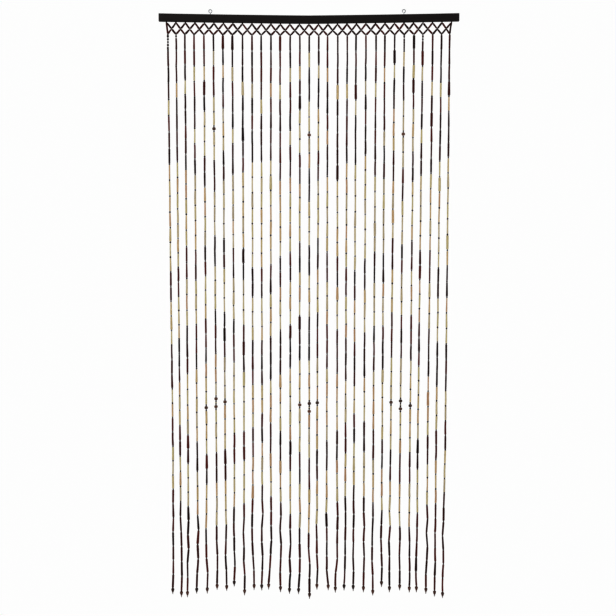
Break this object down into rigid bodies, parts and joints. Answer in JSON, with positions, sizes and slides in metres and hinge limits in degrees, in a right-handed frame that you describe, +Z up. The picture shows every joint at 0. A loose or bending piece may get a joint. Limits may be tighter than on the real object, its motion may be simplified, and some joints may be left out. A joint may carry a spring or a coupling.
{
  "type": "bamboo door curtain with head bar",
  "caption": "Door curtain of bamboo tubes and turned beads strung on cords, hanging from a slim wooden head bar with screw eyes on top.",
  "frame": {"origin": "above the middle of the bar's length, on the line through the centres of the screw-eye rings, where the curtain hangs from its hooks", "axes": "+Z up along the strands, +Y towards the wall or lintel behind, the front faces -Y, +X to the right seen from the front"},
  "size_m": [0.9, 0.011, 1.8126],
  "materials": {
    "head_bar_wood": "black stained slat, satin",
    "eye_wire": "zinc plated wire",
    "dark_bamboo": "bamboo tube stained near black or mahogany, low sheen",
    "natural_bamboo": "unstained bamboo tube, low sheen",
    "seed_bead": "small turned bead, satin",
    "cord": "thin twisted cord",
    "ball_wood": "turned ball, lacquered red brown",
    "end_bead_wood": "turned drop, lacquered dark brown"
  },
  "bodies": {
    "root": {"head_bar": "head_bar_wood", "screw_eye_left": "eye_wire", "screw_eye_right": "eye_wire", "strung_curtain": "dark_bamboo", "ball_05_1": "ball_wood", "ball_06_1": "ball_wood", "ball_06_2": "ball_wood", "ball_06_3": "ball_wood", "ball_07_1": "ball_wood", "ball_15_1": "ball_wood", "ball_16_1": "ball_wood", "ball_16_2": "ball_wood", "ball_16_3": "ball_wood", "ball_17_1": "ball_wood", "ball_25_1": "ball_wood", "ball_26_1": "ball_wood", "ball_26_2": "ball_wood", "ball_26_3": "ball_wood", "ball_27_1": "ball_wood", "end_bead_01": "end_bead_wood", "end_bead_02": "end_bead_wood", "end_bead_03": "end_bead_wood", "end_bead_04": "end_bead_wood", "end_bead_05": "end_bead_wood", "end_bead_06": "end_bead_wood", "end_bead_07": "end_bead_wood", "end_bead_08": "end_bead_wood", "end_bead_09": "end_bead_wood", "end_bead_10": "end_bead_wood", "end_bead_11": "end_bead_wood", "end_bead_12": "end_bead_wood", "end_bead_13": "end_bead_wood", "end_bead_14": "end_bead_wood", "end_bead_15": "end_bead_wood", "end_bead_16": "end_bead_wood", "end_bead_17": "end_bead_wood", "end_bead_18": "end_bead_wood", "end_bead_19": "end_bead_wood", "end_bead_20": "end_bead_wood", "end_bead_21": "end_bead_wood", "end_bead_22": "end_bead_wood", "end_bead_23": "end_bead_wood", "end_bead_24": "end_bead_wood", "end_bead_25": "end_bead_wood", "end_bead_26": "end_bead_wood", "end_bead_27": "end_bead_wood", "end_bead_28": "end_bead_wood", "end_bead_29": "end_bead_wood", "end_bead_30": "end_bead_wood", "end_bead_31": "end_bead_wood"}
  },
  "joints": []
}
